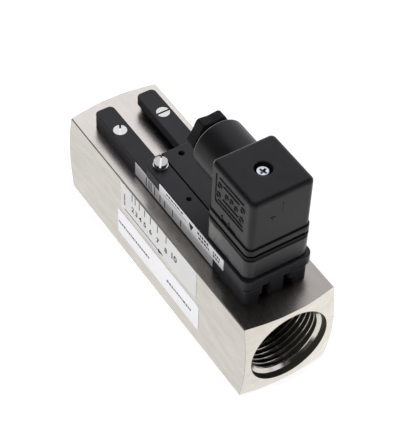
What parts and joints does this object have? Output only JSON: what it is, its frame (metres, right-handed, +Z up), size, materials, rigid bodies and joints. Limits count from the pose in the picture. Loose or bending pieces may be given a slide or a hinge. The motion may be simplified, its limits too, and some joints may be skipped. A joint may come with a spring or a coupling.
{
  "type": "variable area flow switch",
  "caption": "Square-bar flow switch with threaded pipe ports, a sprung magnet float inside, and a reed switch with a square plug and cable gland clamped on rails along the top.",
  "frame": {"origin": "centre of the flow body's underside", "axes": "+X along the flow from the inlet port to the outlet port, +Y away from the scales, +Z up through the plug"},
  "size_m": [0.131, 0.0401, 0.092],
  "materials": {
    "body_metal": "satin ground, light warm grey",
    "screw_metal": "bright zinc plated",
    "spring_metal": "drawn spring wire and stamped ring steel",
    "inner_metal": "turned",
    "float_plastic": "turned grey plastic",
    "magnet": "sintered ferrite",
    "black_plastic": "moulded black, slight gloss",
    "label_white": "printed white film",
    "scale_film": "printed silver-grey film",
    "black_rubber": "moulded seal rubber",
    "brass": "turned or stamped",
    "blade_metal": "tin plated",
    "board": "circuit board",
    "reed_glass": "clear green-tinted glass",
    "lead_metal": "plated nickel-iron",
    "wire_sheath": "insulated wire"
  },
  "bodies": {
    "body": {"flow_body": "body_metal", "slotted_nozzle": "inner_metal", "inlet_stop": "inner_metal", "spring_stop": "inner_metal", "inlet_circlip": "spring_metal", "outlet_circlip": "spring_metal", "return_spring": "spring_metal", "front_rail": "black_plastic", "rear_rail": "black_plastic", "rail_screws": "screw_metal", "rail_scale": "scale_film", "scale_label": "scale_film", "type_label": "label_white"},
    "float": {"float_body": "float_plastic", "float_magnet": "magnet", "float_cap": "float_plastic"},
    "switch": {"switch_housing": "black_plastic", "pointer_label": "label_white", "clamp_insert": "brass", "reed_board": "board", "reed_glass": "reed_glass", "reed_leads": "lead_metal", "jumper_wires": "wire_sheath", "base_gasket": "black_rubber", "connector_base": "black_plastic", "base_screws": "screw_metal", "screw_insert": "brass", "contact_blades": "blade_metal", "flange_gasket": "black_rubber", "terminal_insert": "black_plastic", "terminal_screws": "screw_metal", "plug_housing": "black_plastic", "screw_seal": "black_rubber", "gland_washer": "black_plastic", "gland_seal": "black_rubber"},
    "clamp_screw": {"clamp_screw": "screw_metal"},
    "plug_screw": {"plug_screw": "screw_metal"},
    "gland_nut": {"gland_nut": "black_plastic"}
  },
  "joints": [
    {"name": "float_slide", "type": "slide", "parent": "body", "child": "float", "axis": [1, 0, 0], "range_m": [0, 0.028], "stiffness_N_per_m": 250, "springref_m": -0.008, "deforming": ["return_spring"]},
    {"name": "switch_slide", "type": "slide", "parent": "body", "child": "switch", "axis": [-1, 0, 0], "range_m": [0, 0.036]},
    {"name": "clamp_screw_turn", "type": "hinge", "parent": "switch", "child": "clamp_screw", "pos_m": [-0.0126, -0.00895, 0.0535], "axis": [0, 0, 1], "range_deg": [0, 360]},
    {"name": "plug_screw_turn", "type": "hinge", "parent": "switch", "child": "plug_screw", "pos_m": [0.0392, 0.0008, 0.0887], "axis": [0, 0, 1], "range_deg": [0, 360]},
    {"name": "gland_nut_turn", "type": "hinge", "parent": "switch", "child": "gland_nut", "pos_m": [0.0072, 0.0008, 0.0803], "axis": [-1, 0, 0], "range_deg": [0, 360]}
  ]
}
